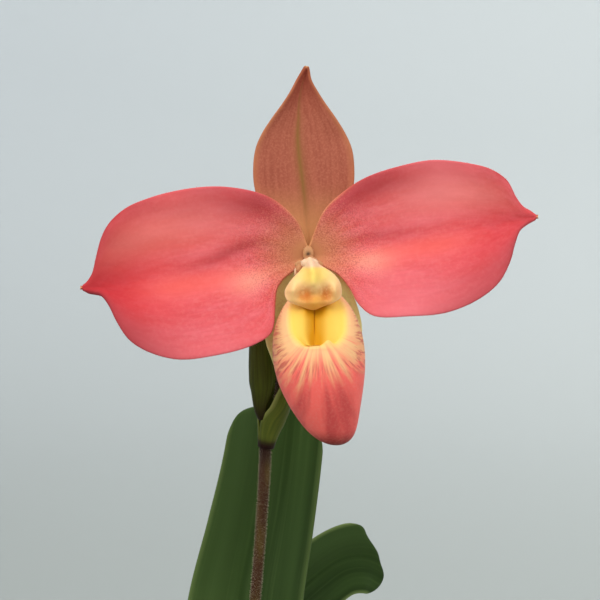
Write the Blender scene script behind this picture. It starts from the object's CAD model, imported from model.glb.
"""A potted phragmipedium orchid in bloom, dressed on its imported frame.

Lengths in the dataclasses are millimetres in the part's own frame. The flower's pieces are
written in the flower's frame: x to its right, -y towards whoever faces it and z up, from the
middle of the flower. Meshes are handed over in metres.
"""

import logging
import math
import random
from dataclasses import dataclass, field
from enum import Enum
from typing import Callable

import bmesh
import bpy
from mathutils import Euler, Matrix, Vector, noise


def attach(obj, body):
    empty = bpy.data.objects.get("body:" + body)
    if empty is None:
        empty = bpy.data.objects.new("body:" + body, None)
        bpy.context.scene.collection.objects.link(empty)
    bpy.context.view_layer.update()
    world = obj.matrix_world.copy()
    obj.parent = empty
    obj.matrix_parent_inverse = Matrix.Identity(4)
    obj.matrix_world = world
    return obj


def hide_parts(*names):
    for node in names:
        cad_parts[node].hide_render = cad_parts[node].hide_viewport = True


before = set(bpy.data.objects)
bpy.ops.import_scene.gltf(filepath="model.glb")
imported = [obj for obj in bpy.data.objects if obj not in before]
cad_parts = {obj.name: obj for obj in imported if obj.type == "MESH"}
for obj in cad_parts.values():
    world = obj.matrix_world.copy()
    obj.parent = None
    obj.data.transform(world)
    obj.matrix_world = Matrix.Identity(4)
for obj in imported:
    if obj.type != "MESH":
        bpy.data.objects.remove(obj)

LOG = logging.getLogger("orchid")
MM = 0.001
TURN = 2 * math.pi
BODY = "root"

BMesh = bmesh.types.BMesh
Tree = bpy.types.NodeTree
Socket = bpy.types.NodeSocket
Names = tuple[str, ...]
Pair = tuple[float, float]
Triple = tuple[float, float, float]
Surface = Callable[[float, float], Vector]
Marks = Callable[[float, float, Vector], tuple[float, ...]]


# Numbers and curves


def lerp(a: float, b: float, t: float) -> float:
    """Return the value a share t of the way from a to b."""
    return a + (b - a) * t


def clamp(x: float, low: float = 0.0, high: float = 1.0) -> float:
    """Return x held between low and high."""
    return max(low, min(high, x))


def smoothstep(x: float, low: float, high: float) -> float:
    """Return 0 below low, 1 above high and a smooth rise between them."""
    t = clamp((x - low) / (high - low))
    return t * t * (3 - 2 * t)


def bump(x: float, middle: float, width: float) -> float:
    """Return a bell of height 1 about middle."""
    return math.exp(-(((x - middle) / width) ** 2))


class Path:
    """A centripetal spline through points, read by its points or by its length."""

    steps = 200
    tiny = 1e-4

    def __init__(self, points: list[Triple], closed: bool = False) -> None:
        """Keep the points.

        Args:
            points: What the spline passes through.
            closed: Whether the last point joins the first.
        """
        self.points = [Vector(point) for point in points]
        self.closed = closed
        self.lengths: list[float] = []

    def control(self, k: int) -> Vector:
        """Find a control point.

        Args:
            k: Its number, which may lie past the ends.

        Returns:
            The point, carried on past the ends of an open spline.
        """
        count = len(self.points)
        if self.closed:
            return self.points[k % count]
        if k < 0:
            return self.points[0] * 2 - self.points[1]
        if k >= count:
            return self.points[-1] * 2 - self.points[-2]
        return self.points[k]

    def point(self, t: float) -> Vector:
        """Find a point of the spline.

        Args:
            t: A share of the spans, which is not a share of the length.

        Returns:
            The point.
        """
        spans = len(self.points) - (0 if self.closed else 1)
        k = min(int(spans * t), spans - 1)
        w = spans * t - k
        p0, p1, p2, p3 = (self.control(k + step) for step in (-1, 0, 1, 2))
        d0, d1, d2 = ((b - a).length_squared ** 0.25 for a, b in ((p0, p1), (p1, p2), (p2, p3)))
        d1 = d1 if d1 > self.tiny else 1.0
        d0 = d0 if d0 > self.tiny else d1
        d2 = d2 if d2 > self.tiny else d1
        m1 = ((p1 - p0) / d0 - (p2 - p0) / (d0 + d1) + (p2 - p1) / d1) * d1
        m2 = ((p2 - p1) / d1 - (p3 - p1) / (d1 + d2) + (p3 - p2) / d2) * d1
        squared = (p2 - p1) * 3 - m1 * 2 - m2
        cubed = (p1 - p2) * 2 + m1 + m2
        return p1 + m1 * w + squared * (w * w) + cubed * (w * w * w)

    def share(self, s: float) -> float:
        """Turn a share of the length into a share of the spans.

        Args:
            s: The share of the length.

        Returns:
            The t of point() that lies there.
        """
        if not self.lengths:
            self.lengths = [0.0]
            last = self.point(0)
            for i in range(1, self.steps + 1):
                here = self.point(i / self.steps)
                self.lengths.append(self.lengths[-1] + (here - last).length)
                last = here
        goal = clamp(s) * self.lengths[-1]
        low, high = 0, self.steps
        while high - low > 1:
            middle = (low + high) // 2
            low, high = (middle, high) if self.lengths[middle] <= goal else (low, middle)
        span = self.lengths[high] - self.lengths[low]
        return (low + (goal - self.lengths[low]) / max(span, 1e-9)) / self.steps

    def length(self) -> float:
        """Return the length of the whole spline."""
        self.share(1)
        return self.lengths[-1]

    def tangent(self, t: float) -> Vector:
        """Return the direction at a share t of the spans."""
        return (self.point(min(t + self.tiny, 1)) - self.point(max(t - self.tiny, 0))).normalized()


def through(values: list[float]) -> Callable[[float], float]:
    """Return a smooth function of 0 to 1 through values at even steps."""
    path = Path([(value, 0.0, 0.0) for value in values])
    return lambda t: path.point(clamp(t)).x


# Meshes


def marked(bm: BMesh, names: Names) -> list:
    """Return the float layers of those names, made where they are missing."""
    floats = bm.verts.layers.float
    return [floats.get(name) or floats.new(name) for name in names]


def sheet(rows: int, columns: int, surface: Surface, names: Names, marks: Marks) -> BMesh:
    """Lay a grid on a surface.

    Args:
        rows: Faces along the surface.
        columns: Faces across it.
        surface: The point at u, 0 to 1 along, and v, -1 to 1 across.
        names: Names of the marks that the finish reads.
        marks: The marks' values at u, v and the point there.

    Returns:
        The open sheet.
    """
    bm = bmesh.new()
    bmesh.ops.create_grid(bm, x_segments=columns, y_segments=rows, size=1.0)
    layers = marked(bm, names)
    for vert in bm.verts:
        u, v = clamp((vert.co.y + 1) / 2), vert.co.x
        vert.co = surface(u, v)
        for layer, value in zip(layers, marks(u, v, vert.co)):
            vert[layer] = value
    return bm


def tube(rings: int, sides: int, surface: Surface, names: Names, marks: Marks) -> BMesh:
    """Lay a closed tube on a surface.

    Args:
        rings: Steps along the tube.
        sides: Steps round it.
        surface: The point at t, 0 to 1 along, and an angle round the tube.
        names: Names of the marks that the finish reads.
        marks: The marks' values at t, the angle and the point there.

    Returns:
        The tube with both ends capped.
    """
    bm = bmesh.new()
    bmesh.ops.create_cone(bm, cap_ends=True, cap_tris=False, segments=sides, radius1=1, radius2=1, depth=2)
    along = [edge for edge in bm.edges if abs(edge.verts[0].co.z - edge.verts[1].co.z) > 1]
    bmesh.ops.subdivide_edges(bm, edges=along, cuts=rings - 1)
    layers = marked(bm, names)
    for vert in bm.verts:
        t, angle = clamp((vert.co.z + 1) / 2), math.atan2(vert.co.y, vert.co.x) % TURN
        vert.co = surface(t, angle)
        for layer, value in zip(layers, marks(t, angle, vert.co)):
            vert[layer] = value
    bmesh.ops.recalc_face_normals(bm, faces=bm.faces)
    return bm


def rod(path: Path, radius: Callable[[float, float], float], reference: Triple = (1, 0, 0)) -> Surface:
    """Wrap a rod round a path.

    Args:
        path: The rod's middle line.
        radius: Its radius at t and an angle.
        reference: A direction that the path never takes, which angle 0 faces.

    Returns:
        Its surface, for tube().
    """
    def surface(t: float, angle: float) -> Vector:
        """Find a point of the rod.

        Args:
            t: How far along the rod, 0 to 1.
            angle: The angle round it.

        Returns:
            The point.
        """
        tangent = path.tangent(t)
        back = tangent.cross(Vector(reference)).normalized()
        right = back.cross(tangent).normalized()
        r = radius(t, angle)
        return path.point(t) + right * (r * math.cos(angle)) + back * (r * math.sin(angle))
    return surface


def in_order(bm: BMesh) -> BMesh:
    """Put a mesh's faces in an order that every run repeats, which merging vertices doesn't.

    Args:
        bm: The mesh, which has no marks yet and is freed.

    Returns:
        The same mesh, its faces sorted by their corners.
    """
    bm.verts.index_update()
    rings = []
    for face in bm.faces:
        ring = [vert.index for vert in face.verts]
        first = ring.index(min(ring))
        rings.append(ring[first:] + ring[:first])
    made = bmesh.new()
    verts = [made.verts.new(vert.co) for vert in bm.verts]
    for ring in sorted(rings):
        made.faces.new([verts[k] for k in ring])
    bm.free()
    return made


def ball(centre: Triple, halves: Triple, wide: int, high: int) -> BMesh:
    """Make an ellipsoid.

    Args:
        centre: Its middle.
        halves: Its half sizes along x, y and z.
        wide: Faces round z.
        high: Faces from pole to pole.

    Returns:
        The closed mesh.
    """
    bm = bmesh.new()
    place = Matrix.Translation(centre) @ Matrix.Diagonal((*halves, 1))
    bmesh.ops.create_uvsphere(bm, u_segments=wide, v_segments=high, radius=1, matrix=place)
    return in_order(bm)


def mark_all(bm: BMesh, names: Names, marks: Marks) -> BMesh:
    """Give every vertex its marks.

    Args:
        bm: The mesh.
        names: Names of the marks.
        marks: Their values, read from the vertex's place alone.

    Returns:
        The same mesh.
    """
    layers = marked(bm, names)
    for vert in bm.verts:
        for layer, value in zip(layers, marks(0, 0, vert.co)):
            vert[layer] = value
    return bm


def drawn(profile: list[Pair]) -> tuple[BMesh, list, list]:
    """Draw an outline that spun() can turn.

    Args:
        profile: Its points, as radius and height.

    Returns:
        A mesh that holds it, its vertices and its edges.
    """
    bm = bmesh.new()
    verts = [bm.verts.new((r, 0, z)) for r, z in profile]
    edges = [bm.edges.new(pair) for pair in zip(verts, verts[1:])]
    return bm, verts, edges


def spun(bm: BMesh, steps: int, near: float) -> BMesh:
    """Turn an outline once round z into a skin that faces outwards.

    Args:
        bm: The mesh with the outline, which is freed.
        steps: Faces round the turn.
        near: Vertices closer than this are merged.

    Returns:
        The skin.
    """
    outline = bm.verts[:] + bm.edges[:]
    bmesh.ops.spin(bm, geom=outline, axis=(0, 0, 1), cent=(0, 0, 0), angle=TURN, steps=steps, use_merge=True)
    bmesh.ops.remove_doubles(bm, verts=bm.verts, dist=near)
    bmesh.ops.recalc_face_normals(bm, faces=bm.faces)
    return in_order(bm)


def meshed(name: str, bm: BMesh) -> bpy.types.Mesh:
    """Turn a bmesh into a mesh.

    Args:
        name: The mesh's name.
        bm: The bmesh, which is freed.

    Returns:
        The mesh.
    """
    mesh = bpy.data.meshes.new(name)
    bm.to_mesh(mesh)
    bm.free()
    return mesh


def placed(name: str, data: bpy.types.ID) -> bpy.types.Object:
    """Put data into the scene.

    Args:
        name: The object's name.
        data: What it shows.

    Returns:
        The new object.
    """
    obj = bpy.data.objects.new(name, data)
    bpy.context.scene.collection.objects.link(obj)
    return obj


def joined(parts: list[BMesh], names: Names) -> BMesh:
    """Join meshes into one.

    Args:
        parts: The meshes, which are freed.
        names: Marks that the whole has.

    Returns:
        The whole.
    """
    whole = bmesh.new()
    marked(whole, names)
    for bm in parts:
        scratch = meshed("scratch", bm)
        whole.from_mesh(scratch)
        bpy.data.meshes.remove(scratch)
    return whole


@dataclass(frozen=True)
class Down:
    """Fine hairs that stand on a piece, more of them where its mark "down" is high."""

    per_mm2: float
    length: float
    radius: float
    seed: int = 5
    lean: float = 0.35
    shortest: float = 0.6
    longest: float = 1.2

    def spikes(self, count: int) -> BMesh:
        """Make loose spikes by doubling one.

        Args:
            count: How many are needed.

        Returns:
            A mesh of at least that many.
        """
        bm = bmesh.new()
        bmesh.ops.create_cone(bm, cap_ends=True, cap_tris=False, segments=3, radius1=1, radius2=0, depth=1)
        bmesh.ops.translate(bm, verts=bm.verts, vec=(0, 0, 0.5))
        bmesh.ops.remove_doubles(bm, verts=bm.verts, dist=1e-5)
        bm = joined([bm], ())
        made = 1
        while made < count:
            bmesh.ops.duplicate(bm, geom=[*bm.verts, *bm.edges, *bm.faces])
            made *= 2
        return bm

    def roots(self, base: BMesh, names: Names) -> list[tuple]:
        """Choose where the hairs stand.

        Args:
            base: The mesh that they stand on.
            names: Marks that each hair takes from it.

        Returns:
            Each hair's place, the way it points, its length and its marks.
        """
        rng = random.Random(self.seed)
        layers, dense = marked(base, names), marked(base, ("down",))[0]
        made = []
        for face in base.faces:
            corners = face.verts[:]
            share = sum(vert[dense] for vert in corners) / len(corners)
            wanted = face.calc_area() * self.per_mm2 * share + rng.random()
            for _ in range(int(wanted)):
                a, b = rng.random(), rng.random()
                near = corners[0].co.lerp(corners[1].co, a)
                spot = near.lerp(corners[-1].co.lerp(corners[2].co, a), b)
                tilt = Vector([rng.uniform(-self.lean, self.lean) for _ in range(3)])
                size = rng.uniform(self.shortest, self.longest)
                values = [corners[0][layer] for layer in layers]
                made.append((spot, (face.normal + tilt).normalized(), size, values))
        return made

    def grow(self, base: BMesh, names: Names, copied: Names) -> BMesh:
        """Grow the hairs of a finished mesh.

        Args:
            base: The mesh that they stand on, with a vertex mark "down". It is freed.
            names: All its marks.
            copied: Those that each hair takes from where it stands.

        Returns:
            The mesh with its hairs, and a mark "hair" that is strong at their tips.
        """
        roots = self.roots(base, copied)
        bm = self.spikes(len(roots))
        layers, hair = marked(bm, copied), marked(bm, ("hair",))[0]
        bm.verts.ensure_lookup_table()
        corners = 4
        for k, (spot, way, size, values) in enumerate(roots):
            turn = way.to_track_quat("Z", "Y").to_matrix()
            for vert in bm.verts[k * corners:(k + 1) * corners]:
                x, y, z = vert.co
                vert[hair] = 0.4 + 0.6 * z
                vert.co = spot + turn @ Vector((x * self.radius, y * self.radius, z * self.length * size))
                for layer, value in zip(layers, values):
                    vert[layer] = value
        bmesh.ops.delete(bm, geom=bm.verts[len(roots) * corners:], context="VERTS")
        return joined([base, bm], (*names, "hair"))


def settled(bm: BMesh, thickness: float = 0.0) -> BMesh:
    """Make a mesh's wall and its smoothing real.

    Args:
        bm: The mesh, which is freed. Its mark "thick" scales the wall.
        thickness: The wall of a sheet, or 0 for a closed mesh.

    Returns:
        The finished mesh, subdivided once.
    """
    if thickness:
        thick = marked(bm, ("thick",))[0]
        weights = bm.verts.layers.deform.verify()
        for vert in bm.verts:
            vert[weights][0] = vert[thick] or 1.0
    obj = placed("scratch", meshed("scratch", bm))
    if thickness:
        obj.vertex_groups.new(name="thick")
        wall = obj.modifiers.new("wall", "SOLIDIFY")
        wall.thickness, wall.offset, wall.vertex_group = thickness, 0.0, "thick"
        wall.use_quality_normals = True
    smooth = obj.modifiers.new("smooth", "SUBSURF")
    smooth.levels = smooth.render_levels = 1
    done = bmesh.new()
    done.from_object(obj, bpy.context.evaluated_depsgraph_get())
    scratch = obj.data
    bpy.data.objects.remove(obj)
    bpy.data.meshes.remove(scratch)
    return done


def make_piece(name: str, bm: BMesh, finish: "Finish", slot: str, node: str) -> bpy.types.Object:
    """Turn a finished mesh into a piece that stands for a CAD node.

    Args:
        name: The piece's name.
        bm: Its mesh in millimetres, which is freed.
        finish: What dresses it.
        slot: The record's material slot.
        node: The CAD node that it replaces.

    Returns:
        The object.
    """
    bmesh.ops.scale(bm, vec=(MM, MM, MM), verts=bm.verts)
    mesh = meshed(name, bm)
    mesh.shade_smooth()
    mesh.materials.append(finish.material())
    obj = placed(name, mesh)
    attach(obj, BODY)
    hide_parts(node)
    LOG.info("%s: %d faces for %s", name, len(mesh.polygons), node)
    return obj


# Finishes


def linear(colour: str) -> tuple[float, float, float, float]:
    """Read an sRGB colour.

    Args:
        colour: A hash and six hex digits.

    Returns:
        It as linear RGBA.
    """
    channels = [int(colour[k:k + 2], 16) / 255 for k in (1, 3, 5)]
    made = [c / 12.92 if c <= 0.04045 else ((c + 0.055) / 1.055) ** 2.4 for c in channels]
    return (*made, 1.0)


def add(tree: Tree, kind: str, inputs: dict | None = None, out: int | str = 0, **settings: object) -> Socket:
    """Add a shader node with its settings and links.

    Args:
        tree: The tree it goes into.
        kind: The node's type, without the ShaderNode that all of them begin with.
        inputs: Values, hex colours or sockets, by the input's name or number.
        out: The name or number of the output that is wanted.
        settings: The node's own options.

    Returns:
        That output.
    """
    made = tree.nodes.new("ShaderNode" + kind)
    for key, value in settings.items():
        setattr(made, key, value)
    for key, value in (inputs or {}).items():
        if isinstance(value, Socket):
            tree.links.new(value, made.inputs[key])
        else:
            made.inputs[key].default_value = linear(value) if isinstance(value, str) else value
    return made.outputs[out]


Where = Socket | str | float | tuple


class Coat:
    """A surface's colours, laid over each other where marks and patterns are strong.

    A place to lay a colour is a mark's name, a socket, a number, or a pattern with the value
    where it starts and the value where it is full. Several of them are multiplied.
    """

    def __init__(self, tree: Tree, ground: str = "#FFFFFF") -> None:
        """Start with the ground's colour, in a material's tree."""
        self.tree = tree
        self.top: Socket | str = ground

    def place(self) -> Socket:
        """Return the place on the object in millimetres."""
        where = add(self.tree, "TexCoord", out="Object")
        return add(self.tree, "VectorMath", {0: where, "Scale": 1 / MM}, operation="SCALE")

    def follow(self, **axes: float) -> Socket:
        """Return a place that follows the surface: up to three marks, each times a length."""
        inputs = {k: self.product(name, length) for k, (name, length) in enumerate(axes.items())}
        return add(self.tree, "CombineXYZ", inputs)

    def grain(self, where: Socket, cell: float, detail: float = 3.0, squeeze: Triple = (1, 1, 1)) -> Socket:
        """Return a cloudy pattern from 0 to 1.

        Args:
            where: The coordinates, in millimetres.
            cell: The size of its clouds in millimetres.
            detail: Octaves of finer clouds.
            squeeze: How much finer it is along each axis.

        Returns:
            The pattern.
        """
        scale = tuple(axis / cell for axis in squeeze)
        spot = add(self.tree, "Mapping", {"Vector": where, "Scale": scale})
        return add(self.tree, "TexNoise", {"Vector": spot, "Scale": 1.0, "Detail": detail})

    def strength(self, where: Where) -> Where:
        """Find how strong a mark or a pattern is.

        Args:
            where: The place, as the class says.

        Returns:
            A socket or a number.
        """
        if isinstance(where, str):
            return add(self.tree, "Attribute", out="Fac", attribute_name=where)
        if isinstance(where, tuple):
            pattern, start, full = where
            inputs = {"Value": self.strength(pattern), "From Min": start, "From Max": full}
            return add(self.tree, "MapRange", inputs, interpolation_type="SMOOTHSTEP")
        return where

    def product(self, *where: Where, operation: str = "MULTIPLY") -> Where:
        """Multiply the strengths of places.

        Args:
            where: The places, as the class says.
            operation: What is done in place of multiplying.

        Returns:
            A socket or a number.
        """
        made = self.strength(where[0])
        for other in where[1:]:
            made = add(self.tree, "Math", {0: made, 1: self.strength(other)}, operation=operation)
        return made

    def total(self, *where: Where) -> Where:
        """Return the strengths of all the places added."""
        return self.product(*where, operation="ADD")

    def blend(self, ground: Socket | str, colour: Socket | str, *where: Where) -> Socket:
        """Return a ground turned towards a colour where all the places are strong."""
        inputs = {0: self.product(*where), 6: ground, 7: colour}
        return add(self.tree, "Mix", inputs, 2, data_type="RGBA")

    def lay(self, colour: Socket | str, *where: Where) -> None:
        """Lay a colour over the last ones where all the places are strong."""
        self.top = self.blend(self.top, colour, *where)

    def lay_each(self, **colours: str) -> None:
        """Lay a colour on each mark named, in that order."""
        for name, colour in colours.items():
            self.lay(colour, name)


@dataclass(frozen=True)
class Finish:
    """What a surface is and how it was grown or made."""

    name: str
    flesh: str = "#FFFFFF"
    rough: float = 0.6
    bump: float = 0.1
    sheen: float = 0.0
    gloss: float = 0.35
    glow: float = 0.0

    def paint(self, coat: Coat) -> Socket:
        """Lay the colours over the flesh.

        Args:
            coat: The coat so far, which this lays colours on.

        Returns:
            The surface's height, for its bump.
        """
        raise NotImplementedError

    def material(self) -> bpy.types.Material:
        """Make the material, once.

        Returns:
            The material, new or from before.
        """
        made = bpy.data.materials.get(self.name)
        if made:
            return made
        made = bpy.data.materials.new(self.name)
        made.use_nodes = True
        tree = made.node_tree
        coat = Coat(tree, self.flesh)
        relief = {"Strength": self.bump, "Distance": 0.4 * MM, "Height": self.paint(coat)}
        shader = tree.nodes["Principled BSDF"]
        tree.links.new(coat.top, shader.inputs["Base Color"])
        tree.links.new(add(tree, "Bump", relief), shader.inputs["Normal"])
        looks = {"Roughness": self.rough, "Specular IOR Level": self.gloss,
                 "Sheen Weight": self.sheen, "Sheen Roughness": 0.5}
        if self.glow:
            looks |= {"Subsurface Weight": self.glow, "Subsurface Radius": (1.0, 0.45, 0.3),
                      "Subsurface Scale": 0.8 * MM}
        for name, value in looks.items():
            shader.inputs[name].default_value = value
        return made


@dataclass(frozen=True)
class PetalFinish(Finish):
    """Velvety petal: coral cells over cream, tan and stippled at the foot, its tip pale."""

    name: str = "velvet_petal"
    rough: float = 0.8
    sheen: float = 0.02
    gloss: float = 0.04
    length: float = 52
    width: float = 20
    flesh: str = "#EA5F62"
    pink: str = "#F4757C"
    bright: str = "#F96A60"
    blush: str = "#FFA08C"
    deep: str = "#A82A30"
    dusk: str = "#A8464A"
    scarlet: str = "#DE3438"
    lit: str = "#FF8A92"
    tan: str = "#CB875C"
    tip: str = "#F0B070"

    def paint(self, coat: Coat) -> Socket:
        """Lay the petal's colours.

        Args:
            coat: The coat so far, which this lays colours on.

        Returns:
            The surface's height, for its bump.
        """
        where = coat.place()
        cells, mottle = coat.grain(where, 0.3, 2), coat.grain(where, 0.9, 4)
        blade = coat.follow(across=self.width, along=self.length)
        drift, net = coat.grain(blade, 3.2, 4, (1, 0.5, 1)), coat.grain(blade, 0.8, 3, (1, 0.45, 1))
        coat.lay(self.pink, (drift, 0.3, 0.72))
        coat.lay("#CC4650", (net, 0.36, 0.64), 0.2)
        coat.lay("#FFA8A4", (mottle, 0.4, 0.75), 0.15)
        coat.lay_each(far=self.scarlet, lit=self.lit, dusk=self.dusk, bright=self.bright,
                      deep=self.deep, blush=self.blush, tan=self.tan)
        coat.lay("#97402F", (cells, 0.46, 0.66), (mottle, 0.2, 0.5), "stipple")
        coat.lay("#F3B98F", (cells, 0.48, 0.36), "stipple", 0.4)
        coat.lay_each(tip=self.tip, hair="#E4868A")
        return coat.total(coat.product(drift, 0.7), coat.product(mottle, 0.5))


@dataclass(frozen=True)
class SepalFinish(Finish):
    """Satin sepal: salmon brown streaked lengthwise with fine veins round a green midrib."""

    name: str = "veined_sepal"
    rough: float = 0.65
    sheen: float = 0.05
    gloss: float = 0.15
    length: float = 42
    width: float = 12
    flesh: str = "#AA5C46"
    vein: str = "#8C4230"
    rim: str = "#BE7650"
    midrib: str = "#8C6030"
    foot: str = "#D0945C"

    def paint(self, coat: Coat) -> Socket:
        """Lay the sepal's colours.

        Args:
            coat: The coat so far, which this lays colours on.

        Returns:
            The surface's height, for its bump.
        """
        blade = coat.follow(across=self.width, along=self.length)
        veins, fine = coat.grain(blade, 1.1, 4, (1, 0.07, 1)), coat.grain(coat.place(), 0.5, 3)
        coat.lay(self.vein, (veins, 0.36, 0.7), 0.45)
        coat.lay("#CC7C60", (fine, 0.4, 0.7), 0.3)
        coat.lay_each(rim=self.rim, foot=self.foot, midrib=self.midrib, red="#A43A26", hair="#CC8E6C")
        return coat.total(veins, coat.product(fine, 0.4))


@dataclass(frozen=True)
class PouchFinish(Finish):
    """Lip: cream at the mouth, coral streaks that run together towards the toe, yellow inside."""

    name: str = "streaked_lip"
    rough: float = 0.55
    sheen: float = 0.04
    gloss: float = 0.14
    flesh: str = "#F9C288"
    coral: str = "#FF6C62"
    toe: str = "#741814"
    inside: str = "#FFD25E"
    slit: str = "#D8950E"

    def paint(self, coat: Coat) -> Socket:
        """Lay the lip's colours.

        Args:
            coat: The coat so far, which this lays colours on.

        Returns:
            The surface's height, for its bump.
        """
        mouth = coat.follow(swing_x=8.0, swing_z=8.0, reach=3.2)
        streak, wisps, bands = (add(coat.tree, "TexNoise", {"Vector": mouth, **options}) for options in (
            {"Scale": 1.0, "Detail": 4.0, "Roughness": 0.55, "Distortion": 0.35},
            {"Scale": 2.6, "Detail": 3.0}, {"Scale": 0.7, "Detail": 2.0}))
        fine = coat.grain(coat.place(), 0.6, 3)
        ragged = coat.product(coat.total(streak, -0.5), 2.1)
        coat.lay("#DB9E62", "tan")
        coat.lay(self.coral, (coat.total("fall", ragged), 0.0, 1.0))
        coat.lay("#CA544C", (wisps, 0.46, 0.62), "veined", 0.75)
        coat.lay("#B83438", (bands, 0.38, 0.72), ("fall", 0.6, 1.4), 0.65)
        coat.lay(self.toe, "toe")
        coat.lay("#F3A895", (fine, 0.4, 0.75), 0.12)
        coat.lay(coat.blend(self.inside, self.slit, "slit"), "inside")
        coat.lay("#F0A898", "hair")
        return coat.total(coat.product(streak, 0.5), coat.product(fine, 0.5))


@dataclass(frozen=True)
class ShieldFinish(Finish):
    """Staminode: waxy yellow ridge between peach lobes, blotched orange brown, its hood downy."""

    name: str = "waxy_shield"
    rough: float = 0.5
    sheen: float = 0.03
    gloss: float = 0.25
    glow: float = 0.15
    flesh: str = "#FACB8C"

    def paint(self, coat: Coat) -> Socket:
        """Lay the shield's colours.

        Args:
            coat: The coat so far, which this lays colours on.

        Returns:
            The surface's height, for its bump.
        """
        cloud = coat.grain(coat.place(), 0.9, 4)
        coat.lay_each(ridge="#FFD86C", low="#E29C32")
        coat.lay("#C86E22", "blotch", (cloud, 0.2, 0.55))
        coat.lay_each(hood="#F3C8A2", flesh="#CC9262", pit="#4C3222", hair="#FADFC8")
        return cloud


@dataclass(frozen=True)
class LeafFinish(Finish):
    """Leathery strap leaf: deep green with fine parallel veins and paler lengthwise streaks."""

    name: str = "strap_leaf"
    rough: float = 0.48
    gloss: float = 0.11
    length: float = 200
    width: float = 19
    flesh: str = "#2F4418"
    light: str = "#4E6432"
    dark: str = "#22360A"
    foot: str = "#A9A66B"

    def paint(self, coat: Coat) -> Socket:
        """Lay the leaf's colours.

        Args:
            coat: The coat so far, which this lays colours on.

        Returns:
            The surface's height, for its bump.
        """
        blade = coat.follow(across=self.width, along=self.length)
        veins, broad = coat.grain(blade, 1.3, 3, (1, 0.02, 1)), coat.grain(blade, 6, 3, (1, 0.05, 1))
        coat.top = coat.blend(self.dark, self.flesh, (broad, 0.3, 0.7))
        coat.lay(self.light, (veins, 0.45, 0.8), 0.25)
        lower = coat.total(coat.product(("along", 0.85, 0.55), 0.5), 0.3)
        coat.lay(self.light, ("across", 0.4, -0.6), lower)
        coat.lay_each(midrib=self.dark, rim="#77874E", foot=self.foot)
        return coat.total(veins, coat.product(broad, 0.6))


@dataclass(frozen=True)
class BractFinish(Finish):
    """Bract: satin green with faint lengthwise lines, purple at the foot and thin at its rim."""

    name: str = "bract"
    rough: float = 0.55
    gloss: float = 0.12
    length: float = 36
    width: float = 7
    flesh: str = "#585E1C"
    stripe: str = "#464E16"
    rim: str = "#8A8C4C"
    foot: str = "#200804"

    def paint(self, coat: Coat) -> Socket:
        """Lay the bract's colours.

        Args:
            coat: The coat so far, which this lays colours on.

        Returns:
            The surface's height, for its bump.
        """
        lines = coat.grain(coat.follow(across=self.width, along=self.length), 0.7, 3, (1, 0.04, 1))
        coat.lay(self.stripe, (lines, 0.4, 0.66))
        coat.lay("#666C30", coat.grain(coat.place(), 0.5, 3), 0.12)
        coat.lay_each(rim=self.rim, foot=self.foot, hair="#7C7A48")
        return lines


@dataclass(frozen=True)
class StemFinish(Finish):
    """Scape, ovary and bud: ribbed green skin clouded red brown under short pale down."""

    name: str = "downy_stem"
    rough: float = 0.7
    sheen: float = 0.05
    gloss: float = 0.12
    flesh: str = "#56441A"
    flush: str = "#402616"

    def paint(self, coat: Coat) -> Socket:
        """Lay the stem's colours.

        Args:
            coat: The coat so far, which this lays colours on.

        Returns:
            The surface's height, for its bump.
        """
        where = coat.place()
        cloud, fine = coat.grain(where, 4, 4, (1, 1, 0.25)), coat.grain(where, 0.4, 3)
        coat.lay(self.flush, (cloud, 0.35, 0.65))
        coat.lay("#7A5A38", (fine, 0.5, 0.7), 0.15)
        coat.lay_each(dark="#240A08", hair="#DCC4A8")
        return fine


@dataclass(frozen=True)
class ClayFinish(Finish):
    """Fired terracotta: turned, unglazed, with fine rings and pale bloom of lime."""

    name: str = "turned_terracotta"
    rough: float = 0.88
    gloss: float = 0.2
    bump: float = 0.25
    flesh: str = "#B4694A"

    def paint(self, coat: Coat) -> Socket:
        """Lay the clay's colours.

        Args:
            coat: The coat so far, which this lays colours on.

        Returns:
            The surface's height, for its bump.
        """
        where = coat.place()
        cloud, grit = coat.grain(where, 22, 5), coat.grain(where, 0.9, 4)
        rings, lime = coat.grain(where, 1.6, 2, (0.03, 0.03, 1)), coat.grain(where, 14, 6, (1, 1, 0.5))
        coat.lay("#C68363", (cloud, 0.35, 0.7))
        coat.lay("#D9C0A8", (lime, 0.5, 0.75), 0.22)
        coat.lay("#8E4E36", (grit, 0.55, 0.7), 0.3)
        coat.lay("#9C5A40", (rings, 0.5, 0.7), 0.18)
        return coat.total(rings, grit)


@dataclass(frozen=True)
class BarkFinish(Finish):
    """Fir bark: corky brown plates, each chip its own shade, grey where it has weathered."""

    name: str = "fir_bark"
    rough: float = 0.95
    gloss: float = 0.15
    bump: float = 0.8
    flesh: str = "#4A2E1E"

    def paint(self, coat: Coat) -> Socket:
        """Lay the bark's colours.

        Args:
            coat: The coat so far, which this lays colours on.

        Returns:
            The surface's height, for its bump.
        """
        where = coat.place()
        plates, fine = coat.grain(where, 2.4, 5, (1, 1, 2.5)), coat.grain(where, 0.7, 4)
        coat.lay("#8A5C3C", "shade")
        coat.lay("#2E1D14", (plates, 0.35, 0.7), 0.6)
        coat.lay("#A98A6C", (fine, 0.5, 0.7), 0.45)
        return coat.total(plates, coat.product(fine, 0.5))


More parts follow.
